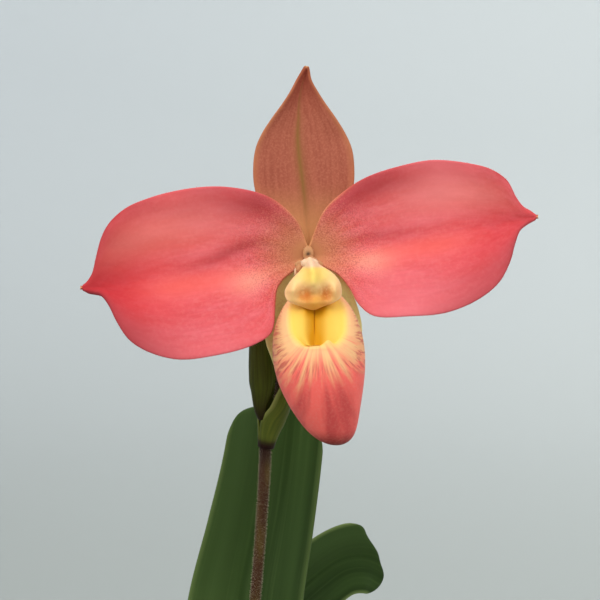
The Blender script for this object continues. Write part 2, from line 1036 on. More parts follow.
@dataclass(frozen=True)
class RootFinish(Finish):
    """Rootstock: tan, corky skin with a short pale fur."""

    name: str = "furred_root"
    rough: float = 0.85
    bump: float = 0.4
    flesh: str = "#8C8468"

    def paint(self, coat: Coat) -> Socket:
        """Lay the root's colours.

        Args:
            coat: The coat so far, which this lays colours on.

        Returns:
            The surface's height, for its bump.
        """
        where = coat.place()
        cloud, fine = coat.grain(where, 3, 5), coat.grain(where, 0.6, 3)
        coat.lay("#5F5038", (cloud, 0.35, 0.65))
        coat.lay("#B5AC8C", (fine, 0.5, 0.7), 0.5)
        return fine


# The pot, the bark and the rootstock


@dataclass
class ClayPot:
    """A turned clay pot with a band at its rim and drain holes through its floor."""

    height: float = 98
    foot_radius: float = 42
    rim_radius: float = 60
    wall: float = 4.5
    floor: float = 6
    band_height: float = 20
    band_step: float = 2.2
    chamfer: float = 1.5
    rounding: float = 0.5
    drains: int = 6
    drain_radius: float = 4
    drain_ring: float = 24
    steps: int = 96
    sharp: float = 35

    def outer(self, z: float) -> float:
        """Return the outer radius below the band."""
        return lerp(self.foot_radius, self.rim_radius - self.band_step, z / self.height)

    def profile(self) -> list[Pair]:
        """Draw the wall's outline.

        Returns:
            Its points, as radius and height.
        """
        band, top, inner = self.height - self.band_height, self.height, self.rim_radius - self.wall
        cut, well = self.chamfer, self.outer(self.floor) - self.wall
        return [
            (0, 0), (self.foot_radius - cut, 0), (self.outer(cut), cut), (self.outer(band), band),
            (self.outer(band) + self.band_step, band + cut), (self.rim_radius, top - cut),
            (self.rim_radius - cut, top), (inner - 1, top), (inner - 2, top - cut),
            (well, self.floor + 2), (well - 2, self.floor), (0, self.floor),
        ]

    def drill(self) -> bpy.types.Object:
        """Make the cutter of the drain holes.

        Returns:
            The cutter.
        """
        bm = bmesh.new()
        for k in range(self.drains):
            turn = TURN * k / self.drains
            middle = (self.drain_ring * math.cos(turn), self.drain_ring * math.sin(turn), self.floor / 2)
            bmesh.ops.create_cone(bm, cap_ends=True, segments=24, radius1=self.drain_radius,
                                  radius2=self.drain_radius, depth=3 * self.floor,
                                  matrix=Matrix.Translation(middle))
        return placed("drill", meshed("drill", bm))

    def build(self) -> bpy.types.Object:
        """Turn the wall, round its edges, drill its floor and dress it.

        Returns:
            The pot.
        """
        bm, verts, _ = drawn(self.profile())
        bmesh.ops.bevel(bm, geom=verts[1:-1], affect="VERTICES", offset=self.rounding, segments=3,
                        profile=0.5, material=-1)
        clay = placed("scratch", meshed("scratch", spun(bm, self.steps, 1e-3)))
        drill = self.drill()
        cut = clay.modifiers.new("drain", "BOOLEAN")
        cut.object, cut.operation, cut.solver = drill, "DIFFERENCE", "EXACT"
        done = bmesh.new()
        done.from_object(clay, bpy.context.evaluated_depsgraph_get())
        for obj in (clay, drill):
            bpy.data.objects.remove(obj)
        piece = make_piece("clay_pot", done, ClayFinish(), "clay", "pot")
        piece.data.set_sharp_from_angle(angle=math.radians(self.sharp))
        return piece


class Stream:
    """The repeatable stream of numbers that the CAD chips are drawn from."""

    factor = 1664525
    step = 1013904223
    size = 4294967296

    def __init__(self, seed: int) -> None:
        """Start the stream at a seed."""
        self.state = seed

    def next(self) -> float:
        """Return the next number, from 0 to 1."""
        self.state = (self.state * self.factor + self.step) % self.size
        return self.state / self.size


@dataclass
class BarkMix:
    """Packed bark with chips standing half out of its top, and clear of the plant's feet."""

    pot: ClayPot
    fans: list["Fan"]
    top: float = 86
    gap: float = 0.35
    big: int = 34
    small: int = 260
    reach: float = 41.5
    golden: float = 137.508
    sharp: float = 50
    seed: int = 7
    shades: Names = ("shade",)

    def inner(self, z: float) -> float:
        """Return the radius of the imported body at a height."""
        return self.pot.outer(z) - self.pot.wall - self.gap

    def packed(self) -> BMesh:
        """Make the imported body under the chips.

        Returns:
            Its mesh.
        """
        foot, top = self.pot.floor + self.gap, self.top
        bm, _, edges = drawn([
            (0, foot), (self.inner(foot) - 3, foot), (self.inner(foot + 3) - 0.6, foot + 3),
            (self.inner(top - 3) - 1, top - 3), (self.inner(top) - 4, top - 1.6), (30, top - 0.6), (0, top)])
        bmesh.ops.subdivide_edges(bm, edges=edges[-2:], cuts=14)
        bm = spun(bm, 120, 1e-3)
        for vert in bm.verts:
            if vert.co.z > top - 2 and math.hypot(vert.co.x, vert.co.y) < self.inner(top) - 4.5:
                rough = noise.fractal(vert.co * 0.22, 0.6, 2.0, 4)
                vert.co.z += 0.9 * rough - 1.0 - 5.5 * self.sunk(vert.co)
        return mark_all(bm, self.shades, lambda u, v, at: (0.15 + 0.3 * noise.noise(at * 0.3),))

    def sunk(self, at: Vector) -> float:
        """Return 1 where a fan's foot goes into the bark, 0 well away from it."""
        return max(1 - smoothstep(fan.outside(at), 0.96, 1.12) for fan in self.fans)

    def chip(self, size: Triple, turn: Euler, at: Vector, shade: float, seed: float) -> BMesh:
        """Make one chip: a split plate with broken edges.

        Args:
            size: Its length, width and height.
            turn: How it lies.
            at: Its middle.
            shade: How light it is, from 0 to 1.
            seed: What its edges are broken by.

        Returns:
            The chip in its place.
        """
        bm = bmesh.new()
        bmesh.ops.create_cube(bm, size=1.0, matrix=Matrix.Diagonal((*size, 1)))
        bmesh.ops.subdivide_edges(bm, edges=bm.edges, cuts=2, use_grid_fill=True)
        rims = [edge for edge in bm.edges if edge.calc_face_angle(0) > 1.2]
        bmesh.ops.bevel(bm, geom=rims, affect="EDGES", offset=0.07 * min(size[:2]), segments=1,
                        profile=0.5, material=-1)
        for vert in bm.verts:
            away = noise.noise_vector(vert.co * 0.35 + Vector((seed, seed * 0.7, 3.1)))
            vert.co += Vector((away.x * 0.12 * size[0], away.y * 0.12 * size[1], away.z * 0.16 * size[2]))
        bmesh.ops.transform(bm, matrix=Matrix.Translation(at) @ turn.to_matrix().to_4x4(), verts=bm.verts)
        return mark_all(bm, self.shades, lambda u, v, p: (shade,))

    def keep(self, made: list[BMesh], chip: BMesh) -> None:
        """Add a chip unless it cuts into the leaves, which spread above the bark.

        Args:
            made: The chips so far.
            chip: The new one, which is freed if it is left out.
        """
        for vert in chip.verts:
            spread = 1.04 + 0.055 * max(0.0, vert.co.z - self.top + 2)
            if any(fan.outside(vert.co) < spread for fan in self.fans):
                chip.free()
                return
        made.append(chip)

    def big_chips(self) -> list[BMesh]:
        """Lay the chips that the CAD body has.

        Returns:
            The chips in their places.
        """
        stream, made = Stream(7), []
        for k in range(self.big):
            reach, turn = self.reach * math.sqrt((k + 0.5) / self.big), k * math.radians(self.golden)
            size = lerp(6, 11, stream.next())
            height = lerp(3.4, 5.8, stream.next())
            lean = Euler((lerp(-0.25, 0.25, stream.next()), lerp(-0.25, 0.25, stream.next()), 0))
            lean.z = math.pi * stream.next()
            at = Vector((reach * math.cos(turn), reach * math.sin(turn), self.top - 0.9))
            self.keep(made, self.chip((size * 1.3, size, height), lean, at, (k * 0.618) % 1, k * 3.7))
        return made

    def small_chips(self) -> list[BMesh]:
        """Lay the finer chips that fill in between.

        Returns:
            The chips in their places.
        """
        rng, made = random.Random(21), []
        limit = self.pot.outer(self.top) - self.pot.wall - 6
        while len(made) < self.small:
            reach, turn = limit * math.sqrt(rng.random()), rng.uniform(0, TURN)
            at = Vector((reach * math.cos(turn), reach * math.sin(turn), self.top - rng.uniform(0.4, 1.6)))
            size = rng.uniform(2.4, 5.5)
            lean = Euler((rng.uniform(-0.5, 0.5), rng.uniform(-0.5, 0.5), rng.uniform(0, math.pi)))
            near = Vector((at.x * (1 - size / 90), at.y * (1 - size / 90), at.z))
            if self.sunk(at) > 0 or self.sunk(near) > 0:
                continue
            sizes = (size * 1.4, size, size * rng.uniform(0.35, 0.6))
            self.keep(made, self.chip(sizes, lean, at, rng.random(), rng.uniform(0, 90)))
        return made

    def build(self) -> bpy.types.Object:
        """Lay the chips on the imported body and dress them.

        Returns:
            The potting mix.
        """
        noise.seed_set(self.seed)
        bm = joined([self.packed(), *self.big_chips(), *self.small_chips()], self.shades)
        piece = make_piece("bark_mix", bm, BarkFinish(), "bark", "potting_mix")
        piece.data.set_sharp_from_angle(angle=math.radians(self.sharp))
        return piece


@dataclass
class Rootstock:
    """The creeping stem that joins the two fans, with roots that dive into the bark."""

    path: list[Triple] = field(default_factory=lambda: [
        (-14, -2, 72), (-6, 0, 73.5), (6, -1, 71.5), (18, -3, 72), (27, -3, 74), (33, -4, 73)])
    roots: list[list[Triple]] = field(default_factory=lambda: [
        [(-10, -1, 72.8), (-22, -10, 60), (-28, -15, 38), (-24, -20, 18)],
        [(-4, -0.2, 73.2), (-2, 18, 62), (4, 28, 44), (9, 28, 20)],
        [(4, -0.9, 71.9), (4, -18, 62), (-2, -30, 46), (-9, -29, 20)],
        [(22, -3, 72.8), (28, -16, 60), (30, -20, 42), (24, -22, 18)],
        [(29, -3.2, 73.9), (34, 8, 62), (33, 16, 44), (27, 22, 22)],
    ])
    radius: float = 4.2
    knuckle: float = 0.7
    knuckles: int = 5
    root_radius: Pair = (1.7, 1.2)

    def round_stem(self, t: float, angle: float) -> float:
        """Return the stem's radius, thick at each knuckle."""
        return self.radius + self.knuckle * math.cos(self.knuckles * TURN * t)

    def round_root(self, t: float, angle: float) -> float:
        """Return a root's radius."""
        return lerp(*self.root_radius, t)

    def build(self) -> bpy.types.Object:
        """Loft the stem and its roots and dress them.

        Returns:
            The rootstock.
        """
        stem = rod(Path(self.path), self.round_stem, (0, 0, 1))
        parts = [tube(48, 24, stem, (), lambda t, angle, at: ())]
        for points in self.roots:
            parts.append(tube(40, 12, rod(Path(points), self.round_root), (), lambda t, angle, at: ()))
        return make_piece("rootstock", joined(parts, ()), RootFinish(), "root", "rhizome")


# The leaves


@dataclass
class Fan:
    """One growth: the middle that its sheaths nest round, and which way its leaves stand."""

    centre: Pair
    heading: float
    innermost: Pair
    step: Pair
    hole: Pair
    foot: float = 80

    def outside(self, at: Vector) -> float:
        """Measure how far a point lies from the fan's middle.

        Args:
            at: The point.

        Returns:
            The distance as a share of the hole in the bark.
        """
        turn = -math.radians(self.heading)
        x, y = at.x - self.centre[0], at.y - self.centre[1]
        level, deep = x * math.cos(turn) - y * math.sin(turn), x * math.sin(turn) + y * math.cos(turn)
        return math.hypot(level / self.hole[0], deep / self.hole[1])


@dataclass
class Leaf:
    """A strap leaf: a sheath curled round its fan that opens into a folded blade."""

    node: str
    name: str
    fan: Fan
    ring: int
    side: int
    sheath: float
    width: float
    fold: float
    path: list[Triple]
    across: Triple
    uneven: float
    slot: str = "leaf"
    rows: int = 84
    columns: int = 18
    thickness: float = 1.0
    curl: float = 112
    crease: float = 0.006
    wave: float = 0.5
    waves: float = 19
    notch: float = 0.012
    corner: float = 0.07
    pale_rim: float = 0.3
    lift: float = 0.0

    def __post_init__(self) -> None:
        """Work out the sheath and the midrib."""
        fan = self.fan
        turn = math.radians(fan.heading)
        self.level = Vector((math.cos(turn), math.sin(turn), 0)) * self.side
        heading = Vector((-self.level.y, self.level.x, 0))
        self.wide = fan.innermost[0] + fan.step[0] * self.ring
        self.deep = fan.innermost[1] + fan.step[1] * self.ring
        keel = heading * self.deep + Vector((*fan.centre, 0))
        feet = [(keel.x, keel.y, fan.foot + share * self.sheath) for share in (0, 0.5, 1)]
        self.midrib = Path([*feet, *self.path])
        self.share = self.sheath / self.midrib.length()

    def half_width(self, b: float) -> float:
        """Return half the blade's width at b of the way from its sheath to its tip."""
        taper = 1 - 0.1 * b - 0.07 * smoothstep(b, 0.6, 0.95)
        return lerp(self.wide * 1.7, self.width * taper, smoothstep(b, 0, 0.34))

    def cut_back(self, v: float) -> float:
        """Shape the tip.

        Args:
            v: How far across, -1 to 1.

        Returns:
            How far it falls short of the path's end, as a share of the path.
        """
        corner = clamp((abs(v) - 0.3) / 0.7)
        lopsided = smoothstep(-v * math.copysign(1, self.uneven), -0.3, 0.7)
        rounded = self.corner * (1 - math.sqrt(1 - corner * corner))
        return self.notch * bump(v, 0, 0.16) + abs(self.uneven) * lopsided + rounded

    def surface(self, u: float, v: float) -> Vector:
        """Return the leaf's middle surface.

        Args:
            u: How far along, 0 at the foot and 1 at the tip.
            v: How far across, -1 to 1.

        Returns:
            The point in the plant's frame.
        """
        t = clamp(u - self.cut_back(v) * smoothstep(u, 0.7, 1))
        spot = self.midrib.share(t)
        centre, tangent = self.midrib.point(spot), self.midrib.tangent(spot)
        b = clamp((t - self.share) / (1 - self.share))
        spread = smoothstep(t, self.share * 0.92, self.share + 0.24)
        across = self.level.lerp(Vector(self.across).normalized(), smoothstep(t, self.share, 1))
        across = (across - tangent * across.dot(tangent)).normalized()
        inward = across.cross(tangent).normalized()
        half, curl, fold = self.half_width(b), math.radians(self.curl), math.radians(self.fold)
        bend = math.sqrt(v * v + self.crease) - math.sqrt(self.crease)
        wide = lerp(self.wide * math.sin(v * curl), half * v * math.cos(fold), spread)
        deep = lerp(self.deep * (1 - math.cos(v * curl)), half * bend * math.sin(fold), spread)
        phase = self.waves * t + 2.1 * self.ring + (0.8 if v > 0 else 0)
        ripple = self.wave * spread * v * v * math.sin(phase)
        wide -= self.lift * smoothstep(-v, 0.3, 1) * bump(t, 0.85, 0.08)
        return centre + across * wide + inward * (deep + ripple)

    def marks(self, u: float, v: float, at: Vector) -> tuple[float, ...]:
        """Mark the blade.

        Args:
            u: How far along, 0 at the foot and 1 at the tip.
            v: How far across, -1 to 1.
            at: The point there.

        Returns:
            Along, across, midrib, rim, foot and thick.
        """
        edge = abs(v)
        midrib = bump(v, 0, 0.05) * 0.7
        rim = smoothstep(edge, 0.985 - 0.05 * self.pale_rim, 1) * self.pale_rim
        foot = 1 - smoothstep(at.z, 84, 100)
        return u, v, midrib, rim, foot * 0.8, 1 - 0.3 * edge + 0.35 * bump(v, 0, 0.08)

    def build(self) -> bpy.types.Object:
        """Lay the blade, thicken it and dress it.

        Returns:
            The leaf.
        """
        names = ("along", "across", "midrib", "rim", "foot", "thick")
        bm = settled(sheet(self.rows, self.columns, self.surface, names, self.marks), self.thickness)
        young = LeafFinish(name="young_strap_leaf", length=120, width=12, flesh="#4A6230",
                           light="#71904E", dark="#34491F")
        return make_piece(self.name, bm, LeafFinish() if self.slot == "leaf" else young, self.slot, self.node)


OLD_FAN = Fan((-6, 0), 12, (2.7, 3.5), (1.4, 1.95), (11.4, 15.4))
YOUNG_FAN = Fan((27, -3), 17, (1.7, 2.3), (1.4, 1.8), (7.6, 9.6))


@dataclass
class Foliage:
    """The leaves of the flowered growth and of the young one beside it."""

    def leaves(self) -> list[Leaf]:
        """List every leaf, with the CAD's own values.

        Returns:
            The leaves, not yet built.
        """
        old, young = OLD_FAN, YOUNG_FAN
        return [
            Leaf("leaf_tall", "big_leaf", old, 1, 1, 52, 19.4, 20, [
                (-8.6, 13, 160), (-7.8, 28, 192), (-4.8, 42, 224), (-0.9, 49, 244), (2.1, 55, 261),
                (4.2, 61, 277.0)], (0.89, 0.45, 0), 0.01, wave=0.35, corner=0.05),
            Leaf("leaf_side", "right_leaf", old, 3, 1, 30, 13.6, 18, [
                (-10, 18, 136), (-8, 37, 174), (-2, 53, 200.5), (7, 63, 215.4), (16.4, 68, 223.4),
                (25.4, 74, 227.6), (33.6, 79.5, 226.4), (39.4, 83, 222.4)], (0.39, 0.26, -0.88), 0.057,
                wave=0.25, notch=0.004, corner=0.03, pale_rim=0.8, lift=1.5),
            Leaf("leaf_back", "back_leaf", old, 5, 1, 14, 17, 18, [
                (-12, 27, 122), (-15, 50, 150), (-18, 78, 167), (-20, 106, 168), (-21, 128, 156)],
                (1, 0, 0.1), 0.012),
            Leaf("leaf_front", "front_leaf", old, 4, -1, 22, 18, 18, [
                (-3, -23, 132), (-1, -46, 160), (2, -76, 173), (5, -106, 168), (7, -130, 152)],
                (-1, 0.1, 0.05), -0.014),
            Leaf("leaf_high_front", "high_front_leaf", old, 2, -1, 40, 18, 18, [
                (-5, -15, 152), (-8, -34, 184), (-13, -60, 206), (-18, -88, 213), (-22, -116, 206)],
                (-1, -0.1, -0.1), 0.012),
            Leaf("leaf_inner", "inner_leaf", old, 0, -1, 72, 8, 22, [
                (-5.6, -9, 170), (-5, -18, 190), (-3, -31, 209)], (-1, -0.2, 0), 0.015, wave=0.2),
            Leaf("young_leaf_back", "young_back_leaf", young, 3, 1, 18, 12, 18, [
                (22, 19, 118), (19, 38, 142), (16, 60, 156), (14, 80, 156)], (1, 0.2, 0), -0.014,
                slot="young_leaf"),
            Leaf("young_leaf_front", "young_front_leaf", young, 2, -1, 26, 13, 18, [
                (33, -20, 128), (38, -40, 156), (43, -64, 172), (48, -88, 172)], (-1, -0.2, 0), 0.015,
                slot="young_leaf"),
            Leaf("young_leaf_tall", "young_tall_leaf", young, 1, 1, 32, 12, 20, [
                (24, 9, 138), (23, 22, 166), (23, 38, 190)], (1, 0.2, 0), -0.014,
                slot="young_leaf", wave=0.2),
            Leaf("young_leaf_heart", "young_heart_leaf", young, 0, -1, 38, 9, 22, [
                (30, -12, 142), (33, -24, 166), (37, -38, 184)], (-1, -0.2, 0), 0.015, slot="young_leaf",
                wave=0.2),
        ]

    def build(self) -> list[bpy.types.Object]:
        """Build every leaf."""
        return [leaf.build() for leaf in self.leaves()]


# The scape, its bracts, the bud and the ovary


@dataclass
class Bract:
    """A small bract: curled round the stem at its foot, boat-shaped above."""

    node: str
    name: str
    path: list[Triple]
    facing: float
    radius: list[float]
    reach: list[float]
    slot: str
    finish: BractFinish
    foot: Pair = (-1, 0)
    rows: int = 44
    columns: int = 28
    thickness: float = 0.6

    def __post_init__(self) -> None:
        """Make the splines of the midrib, the radius and the reach round the stem."""
        turn = math.radians(self.facing)
        self.out = Vector((math.cos(turn), math.sin(turn), 0))
        self.midrib = Path(self.path)
        self.radius_at, self.reach_at = through(self.radius), through(self.reach)

    def surface(self, u: float, v: float) -> Vector:
        """Return the bract's middle surface.

        Args:
            u: How far along, 0 at the foot and 1 at the tip.
            v: How far round, -1 to 1.

        Returns:
            The point in the plant's frame.
        """
        t = self.midrib.share(u)
        tangent = self.midrib.tangent(t)
        outward = (self.out - tangent * self.out.dot(tangent)).normalized()
        across = tangent.cross(outward).normalized()
        r, angle = self.radius_at(u), v * math.radians(self.reach_at(u))
        keel = 1 + 0.05 * bump(v, 0, 0.07) * smoothstep(u, 0.1, 0.3)
        return self.midrib.point(t) + across * (r * math.sin(angle)) + outward * (r * keel * math.cos(angle))

    def marks(self, u: float, v: float, at: Vector) -> tuple[float, ...]:
        """Mark the bract.

        Args:
            u: How far along, 0 at the foot and 1 at the tip.
            v: How far across, -1 to 1.
            at: The point there.

        Returns:
            Along, across, rim, foot, thick and down.
        """
        rim = smoothstep(abs(v), 0.86, 0.99)
        foot = 1 - smoothstep(u, *self.foot)
        return u, v, rim * smoothstep(u, 0.16, 0.24), foot, 1 - 0.45 * rim - 0.4 * foot, 0.25 + 0.75 * rim

    def build(self) -> bpy.types.Object:
        """Lay the bract, thicken it, grow its down and dress it.

        Returns:
            The bract.
        """
        names = ("along", "across", "rim", "foot", "thick", "down")
        bm = settled(sheet(self.rows, self.columns, self.surface, names, self.marks), self.thickness)
        bm = Down(0.5, 0.45, 0.025, seed=len(self.name)).grow(bm, names, names[:4])
        return make_piece(self.name, bm, self.finish, self.slot, self.node)


@dataclass
class Stem:
    """The scape with its bracts, the bud in the upper bract, and the ovary under the flower."""

    radius: float = 1.45
    path: list[Triple] = field(default_factory=lambda: [
        (-6, 0, 81), (-6, 0, 118), (-5.7, -0.2, 150), (-4.4, -0.9, 180), (-2.2, -1.6, 210),
        (0.8, -2.4, 237.5), (2.75, -2.9, 262), (3.5, -3.2, 277), (3.1, -4.2, 283.4)])
    bud_path: list[Triple] = field(default_factory=lambda: [
        (2.6, -5.1, 286.4), (2.9, -5.2, 292), (3.1, -5.2, 300), (3.5, -5.3, 307)])
    ovary_path: list[Triple] = field(default_factory=lambda: [
        (5.7, -3.0, 282.4), (7.3, -2.9, 292), (9.9, -3, 304), (12.5, -3.2, 315), (13.8, -4.8, 322),
        (14, -8.6, 325.4)])
    bud_sizes: list[float] = field(default_factory=lambda: [0.6, 0.9, 1.5, 1.9, 2, 1.8, 1.3, 0.3])
    ovary_sizes: list[float] = field(default_factory=lambda: [0.8, 1.15, 1.5, 1.8, 1.9, 1.9, 2.1, 2.6])

    def __post_init__(self) -> None:
        """Make the splines of the bud's and the ovary's radii."""
        self.bud_size, self.ovary_size = through(self.bud_sizes), through(self.ovary_sizes)

    def round_scape(self, t: float, angle: float) -> float:
        """Round the scape: waisted, thin inside the bracts and faintly ribbed.

        Args:
            t: How far along, 0 to 1.
            angle: The angle round it.

        Returns:
            Its radius.
        """
        waist = 1 - 0.12 * bump(t, 0.65, 0.16)
        hidden = 1 - 0.5 * smoothstep(t, 0.875, 0.93)
        return self.radius * waist * hidden * (1 + 0.03 * math.cos(5 * angle + 3 * t))

    def round_bud(self, t: float, angle: float) -> float:
        """Return the bud's radius."""
        return self.bud_size(t)

    def round_ovary(self, t: float, angle: float) -> float:
        """Return the ovary's radius, with its six ribs."""
        return self.ovary_size(t) * (1 + 0.06 * math.cos(6 * angle) * smoothstep(t, 0.1, 0.4))

    def scape_marks(self, t: float, angle: float, at: Vector) -> tuple[float, ...]:
        """Return dark, which rises to the ring under the bracts, and down."""
        bare = smoothstep(at.z, 275.5, 277)
        return 0.85 * smoothstep(at.z, 270.5, 275.5), 1 - bare - bump(at.z, 182, 6)

    def even_marks(self, t: float, angle: float, at: Vector) -> tuple[float, ...]:
        """Return dark and down, the same all over."""
        return 0.0, 1.0

    def bracts(self) -> list[Bract]:
        """List the bracts from the foot of the stem up.

        Returns:
            The bracts, not yet built.
        """
        pale = BractFinish(name="pale_bract")
        dark = BractFinish(name="dark_bract", flesh="#454A0C", stripe="#373A08", rim="#6E7E34")
        return [
            Bract("scape_bract", "sheathing_bract", [(-4.6, -0.8, 176), (-3.7, -1.15, 189), (-2.5, -1.5, 203),
                  (-1.8, -1.9, 213)], -60, [2.15, 2.3, 2.7, 3.2, 3.6], [150, 140, 99, 48, 8],
                  "bract_pale", pale, (0, 0.12)),
            Bract("floral_bract", "flower_bract", [(3.6, -3.2, 276.6), (4.2, -3.1, 280.2), (4.9, -3.0, 283.5),
                  (5.5, -2.8, 287), (7, -2.4, 294), (9.2, -2.2, 303), (11, -2.4, 311)], 30,
                  [1.85, 2.35, 3.3, 4, 4.2, 4.2, 4.2, 4.2, 4.1, 4, 4],
                  [180, 180, 170, 132, 120, 106, 92, 76, 58, 36, 8], "bract_pale", pale, (0.03, 0.085)),
            Bract("bud_bract", "budding_bract", [(2.9, -4.6, 284.2), (2.4, -5.3, 287), (2.9, -5.2, 292.3),
                  (3.1, -5.2, 302), (3.8, -5.3, 309), (4.8, -5.4, 315)], -120,
                  [1.0, 1.5, 2.3, 3.1, 3.2, 3.2, 3.2, 3.2, 3.2, 3.2, 3.2],
                  [112, 108, 103, 101, 98, 92, 84, 70, 52, 30, 7], "bract_dark", dark, (-0.05, 0.3)),
        ]

    def build(self) -> list[bpy.types.Object]:
        """Build the stem and everything on it below the flower.

        Returns:
            Its pieces.
        """
        names = ("dark", "down")
        green = StemFinish(name="downy_bud", flesh="#6C6A34", flush="#57502A")
        olive = StemFinish(name="downy_ovary", flesh="#5E5228", flush="#4A2E20")
        stem = tube(110, 20, rod(Path(self.path), self.round_scape), names, self.scape_marks)
        bud = tube(30, 24, rod(Path(self.bud_path), self.round_bud), names, self.even_marks)
        ovary = tube(60, 48, rod(Path(self.ovary_path), self.round_ovary), names, self.even_marks)
        made = []
        for name, node, slot, bm, finish, down in (
                ("flower_stem", "scape", "scape", stem, StemFinish(), Down(8, 0.45, 0.03, seed=3)),
                ("green_bud", "flower_bud", "bud", bud, green, Down(4.0, 0.4, 0.025, seed=4)),
                ("ribbed_ovary", "ovary", "ovary", ovary, olive, Down(4.0, 0.45, 0.028, seed=6))):
            made.append(make_piece(name, down.grow(settled(bm), names, names), finish, slot, node))
        return made + [bract.build() for bract in self.bracts()]


# The flower


FLOWER_AT = (14.0, -12.0, 325.0)
FLOWER_TILT = math.radians(5)
TO_PLANT = Matrix.Translation(FLOWER_AT) @ Matrix.Rotation(-FLOWER_TILT, 4, "X")
TO_FLOWER = TO_PLANT.inverted()
PETAL_REACH = 54
PETAL_MARKS = ("along", "across", "bright", "deep", "far", "lit", "dusk", "blush", "tan", "stipple", "tip",
               "thick", "down")
SEPAL_MARKS = ("along", "across", "rim", "foot", "midrib", "red", "thick", "down")


class Relief(Enum):
    """How far a sepal or petal stands towards the viewer."""

    PETAL = "petal"
    DORSAL = "dorsal"
    SYNSEPAL = "synsepal"

    def towards(self, u: float, v: float) -> float:
        """Return how far the blade stands forward.

        Args:
            u: How far along, 0 at the foot and 1 at the tip.
            v: How far out from the midline, 0 to 1.

        Returns:
            The height in the flower's frame, towards the viewer.
        """
        if self is Relief.PETAL:
            channel = lerp(1.2, 4.6, smoothstep(u, 0.02, 0.35)) * (1 - 0.9 * smoothstep(u, 0.5, 0.95))
            roll = 2.6 * smoothstep(u, 0.35, 0.85) * v ** 4 * (1 - smoothstep(u, 0.88, 1))
            sweep = 1.5 * smoothstep(u, 0, 0.3) - 3 * smoothstep(u, 0.45, 1)
            return sweep + channel * v ** 1.5 - roll
        cup = math.sin(math.pi * clamp(u * 0.9 + 0.05)) * v ** 1.8
        if self is Relief.DORSAL:
            return -2.2 - 2.2 * math.sin(math.pi * u) + 2 * smoothstep(u, 0.6, 1) + 2.4 * cup
        return -2.6 - 2.6 * smoothstep(u, 0.02, 0.5) + 2 * smoothstep(u, 0.6, 1) + 2.6 * cup


